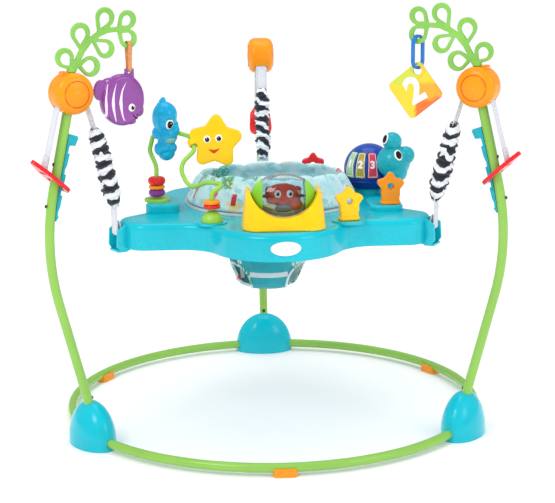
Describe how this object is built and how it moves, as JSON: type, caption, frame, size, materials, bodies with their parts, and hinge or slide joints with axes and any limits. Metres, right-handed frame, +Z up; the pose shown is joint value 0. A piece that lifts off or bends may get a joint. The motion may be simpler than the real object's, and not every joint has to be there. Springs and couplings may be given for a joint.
{
  "type": "activity jumper",
  "caption": "Baby activity jumper: bowed tube legs on a round floor ring hold a toy tray and swivel seat on sprung fabric-covered straps with pull handles for height.",
  "frame": {"origin": "on the floor at the centre of the footprint", "axes": "+Z up, -Y towards the front of the play tray, +X to the right seen from the front"},
  "size_m": [0.9422, 0.9852, 0.8675],
  "materials": {
    "blue_plastic": "glossy",
    "clear_plastic": "clear plastic",
    "crab_red": "satin",
    "green_plastic": "glossy",
    "key_gold": "glossy",
    "key_green": "glossy",
    "key_pink": "glossy",
    "leg_green": "satin powder coat",
    "navy_plastic": "glossy",
    "orange_plastic": "glossy",
    "orange_webbing": "woven ribbon",
    "pale_plastic": "satin",
    "print_fabric": "printed with sea life",
    "purple_plastic": "glossy",
    "red_plastic": "glossy",
    "screw_steel": "dark",
    "seat_fabric": "printed fabric",
    "speaker_grey": "matt",
    "spring_steel": "bare",
    "teal_plastic": "glossy",
    "tile_yellow": "glossy, printed patches",
    "webbing": "woven webbing",
    "white_plastic": "satin",
    "yellow_plastic": "glossy",
    "zebra_fabric": "black and white stripes"
  },
  "bodies": {
    "frame": {"ring_tubes": "leg_green", "foot_shells": "teal_plastic", "foot_bases": "teal_plastic", "frame_screws": "screw_steel", "floor_pads": "orange_plastic", "leg_tubes": "leg_green", "leg_sockets": "leg_green", "snap_buttons": "screw_steel", "height_racks": "teal_plastic", "housing_halves": "orange_plastic", "housing_caps": "orange_plastic", "leaf_arms": "green_plastic", "roller_straps": "webbing"},
    "hangers": {"inner_straps": "webbing", "spring_links": "spring_steel", "springs": "spring_steel", "spring_covers": "zebra_fabric"},
    "tray": {"tray_shell": "teal_plastic", "strap_hooks": "teal_plastic", "lower_straps": "webbing", "roller_cradle": "yellow_plastic", "bead_rod": "green_plastic", "bead_bases": "green_plastic", "star_loop_yellow": "yellow_plastic", "star_loop_orange": "orange_plastic", "star_loop_red": "red_plastic", "badge": "white_plastic", "turtle_pedestal": "teal_plastic", "turtle_shell": "navy_plastic", "turtle_head": "teal_plastic", "turtle_speaker": "speaker_grey"},
    "seat": {"seat_ring": "pale_plastic", "seat_collar": "print_fabric", "seat_bucket": "seat_fabric"},
    "crab_roller": {"roller_window": "clear_plastic", "roller_caps": "green_plastic", "crab_figure": "crab_red"},
    "sea_horse": {"sea_horse": "blue_plastic"},
    "star_toy": {"star_toy": "yellow_plastic"},
    "fish": {"fish_strap": "orange_webbing", "fish_toy": "purple_plastic"},
    "link": {"link_ring": "blue_plastic"},
    "tile": {"number_tile": "tile_yellow"},
    "roller_left": {"strap_roller_left": "pale_plastic"},
    "handle_left": {"strap_handle_left": "red_plastic", "outer_strap_left": "webbing"},
    "roller_right": {"strap_roller_right": "pale_plastic"},
    "handle_right": {"strap_handle_right": "red_plastic", "outer_strap_right": "webbing"},
    "roller_back": {"strap_roller_back": "pale_plastic"},
    "handle_back": {"strap_handle_back": "red_plastic", "outer_strap_back": "webbing"},
    "bead_purple": {"bead_purple": "purple_plastic"},
    "bead_orange": {"bead_orange": "orange_plastic"},
    "bead_red": {"bead_red": "red_plastic"},
    "bead_low": {"bead_low": "red_plastic"},
    "bead_high": {"bead_high": "orange_plastic"},
    "key_one": {"key_one": "key_green"},
    "key_two": {"key_two": "key_gold"},
    "key_three": {"key_three": "key_pink"}
  },
  "joints": [
    {"name": "height_adjust", "type": "slide", "parent": "frame", "child": "hangers", "axis": [0, 0, 1], "range_m": [-0.082, 0.041], "deforming": ["inner_straps"]},
    {"name": "bounce", "type": "slide", "parent": "hangers", "child": "tray", "axis": [0, 0, 1], "range_m": [-0.08, 0.02], "stiffness_N_per_m": 1900, "springref_m": 0.02261, "deforming": ["springs", "spring_covers"]},
    {"name": "seat_swivel", "type": "hinge", "parent": "tray", "child": "seat", "pos_m": [0, -0.045, 0.448], "axis": [0, 0, 1], "continuous": true},
    {"name": "roller_spin", "type": "hinge", "parent": "tray", "child": "crab_roller", "pos_m": [0.01, -0.31, 0.508], "axis": [1, 0, 0], "continuous": true},
    {"name": "handle_slide_left", "type": "slide", "parent": "frame", "child": "handle_left", "axis": [0.2024, 0.1169, 0.9723], "range_m": [-0.0394, 0.0788], "deforming": ["outer_strap_left"]},
    {"name": "strap_roll_left", "type": "hinge", "parent": "frame", "child": "roller_left", "pos_m": [-0.39231, -0.2715, 0.712], "axis": [0.5, -0.866, 0], "continuous": true},
    {"name": "handle_slide_right", "type": "slide", "parent": "frame", "child": "handle_right", "axis": [-0.2024, 0.1169, 0.9723], "range_m": [-0.0394, 0.0788], "deforming": ["outer_strap_right"]},
    {"name": "strap_roll_right", "type": "hinge", "parent": "frame", "child": "roller_right", "pos_m": [0.39231, -0.2715, 0.712], "axis": [0.5, 0.866, 0], "continuous": true},
    {"name": "handle_slide_back", "type": "slide", "parent": "frame", "child": "handle_back", "axis": [0, -0.2337, 0.9723], "range_m": [-0.0394, 0.0788], "deforming": ["outer_strap_back"]},
    {"name": "strap_roll_back", "type": "hinge", "parent": "frame", "child": "roller_back", "pos_m": [0, 0.408, 0.712], "axis": [-1, 0, 0], "continuous": true},
    {"name": "bead_spin_purple", "type": "hinge", "parent": "tray", "child": "bead_purple", "pos_m": [-0.237, -0.115, 0.4834], "axis": [0, 0, 1], "continuous": true},
    {"name": "bead_spin_orange", "type": "hinge", "parent": "tray", "child": "bead_orange", "pos_m": [-0.237, -0.115, 0.495], "axis": [0, 0, 1], "continuous": true},
    {"name": "bead_spin_red", "type": "hinge", "parent": "tray", "child": "bead_red", "pos_m": [-0.237, -0.115, 0.5078], "axis": [0, 0, 1], "continuous": true},
    {"name": "bead_spin_low", "type": "hinge", "parent": "tray", "child": "bead_low", "pos_m": [-0.127, -0.26, 0.4805], "axis": [0, 0, 1], "continuous": true},
    {"name": "bead_spin_high", "type": "hinge", "parent": "tray", "child": "bead_high", "pos_m": [-0.127, -0.26, 0.489], "axis": [0, 0, 1], "continuous": true},
    {"name": "sea_horse_rock", "type": "hinge", "parent": "tray", "child": "sea_horse", "pos_m": [-0.2155, -0.103, 0.602], "axis": [0.9965, -0.0752, 0.0376], "range_deg": [-18, 18]},
    {"name": "star_rock", "type": "hinge", "parent": "tray", "child": "star_toy", "pos_m": [-0.1625, -0.1285, 0.586], "axis": [0.3142, -0.6569, -0.6854], "range_deg": [-12, 12]},
    {"name": "key_press_one", "type": "slide", "parent": "tray", "child": "key_one", "axis": [0.7777, 0.565, -0.2756], "range_m": [0, 0.0025], "stiffness_N_per_m": 400, "springref_m": -0.001},
    {"name": "key_press_two", "type": "slide", "parent": "tray", "child": "key_two", "axis": [0.4214, 0.864, -0.2756], "range_m": [0, 0.0025], "stiffness_N_per_m": 400, "springref_m": -0.001},
    {"name": "key_press_three", "type": "slide", "parent": "tray", "child": "key_three", "axis": [-0.0335, 0.9607, -0.2756], "range_m": [0, 0.0025], "stiffness_N_per_m": 400, "springref_m": -0.001},
    {"name": "fish_swing", "type": "hinge", "parent": "frame", "child": "fish", "pos_m": [-0.28276, -0.20825, 0.79229], "axis": [-0.866, -0.5, 0], "range_deg": [-35, 35]},
    {"name": "link_swing", "type": "hinge", "parent": "frame", "child": "link", "pos_m": [0.28276, -0.20825, 0.78769], "axis": [0.6428, -0.766, 0], "range_deg": [-25, 25]},
    {"name": "tile_swing", "type": "hinge", "parent": "link", "child": "tile", "pos_m": [0.28276, -0.20825, 0.73539], "axis": [0.5, 0.866, 0], "range_deg": [-25, 25]}
  ],
  "couplings": [
    {"joint": "handle_slide_left", "follows": "height_adjust", "ratio": -0.958},
    {"joint": "strap_roll_left", "follows": "height_adjust", "rad_per_m": 44.977},
    {"joint": "handle_slide_right", "follows": "height_adjust", "ratio": -0.958},
    {"joint": "strap_roll_right", "follows": "height_adjust", "rad_per_m": 44.977},
    {"joint": "handle_slide_back", "follows": "height_adjust", "ratio": -0.958},
    {"joint": "strap_roll_back", "follows": "height_adjust", "rad_per_m": 44.977}
  ]
}
